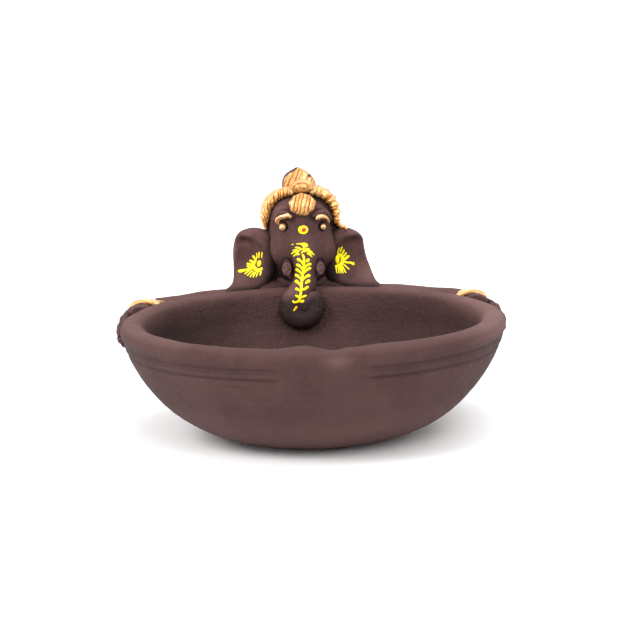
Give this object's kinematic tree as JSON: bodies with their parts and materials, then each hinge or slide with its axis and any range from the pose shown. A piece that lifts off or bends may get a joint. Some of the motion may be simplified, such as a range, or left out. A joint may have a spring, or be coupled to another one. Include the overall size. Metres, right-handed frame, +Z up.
{
  "type": "diya oil lamp",
  "caption": "Round clay oil lamp bowl with a rolled rim and a pinched wick rest; an elephant-headed figure behind it hangs its trunk inside and hugs the rim.",
  "frame": {"origin": "centre of the flat foot, on the surface it stands on", "axes": "+Z up, -Y to the front where the wick rest is, +Y to the figure behind the bowl, -X to the figure's side that is on the left from the front"},
  "size_m": [0.1536, 0.1692, 0.0948],
  "materials": {
    "clay": "unglazed fired clay with a dark maroon-brown wash, matte, fine sandy grain",
    "gold_paint": "fired clay brushed with satin gold paint, dark clay showing in the scored grooves",
    "yellow_paint": "raised bright yellow liner paint on the clay, semi-gloss",
    "red_paint": "raised red paint dot, semi-gloss"
  },
  "bodies": {
    "root": {"bowl": "clay", "torso": "clay", "head": "clay", "lower_lip": "clay", "trunk": "clay", "left_tusk": "clay", "right_tusk": "clay", "left_ear": "clay", "right_ear": "clay", "left_arm": "clay", "right_arm": "clay", "left_hand": "clay", "right_hand": "clay", "left_eye": "gold_paint", "right_eye": "gold_paint", "left_brow": "gold_paint", "right_brow": "gold_paint", "left_crown_band": "gold_paint", "right_crown_band": "gold_paint", "forehead_pendant": "gold_paint", "crown_boss": "gold_paint", "crown_finial": "gold_paint", "left_bangle": "gold_paint", "right_bangle": "gold_paint"}
  },
  "joints": []
}
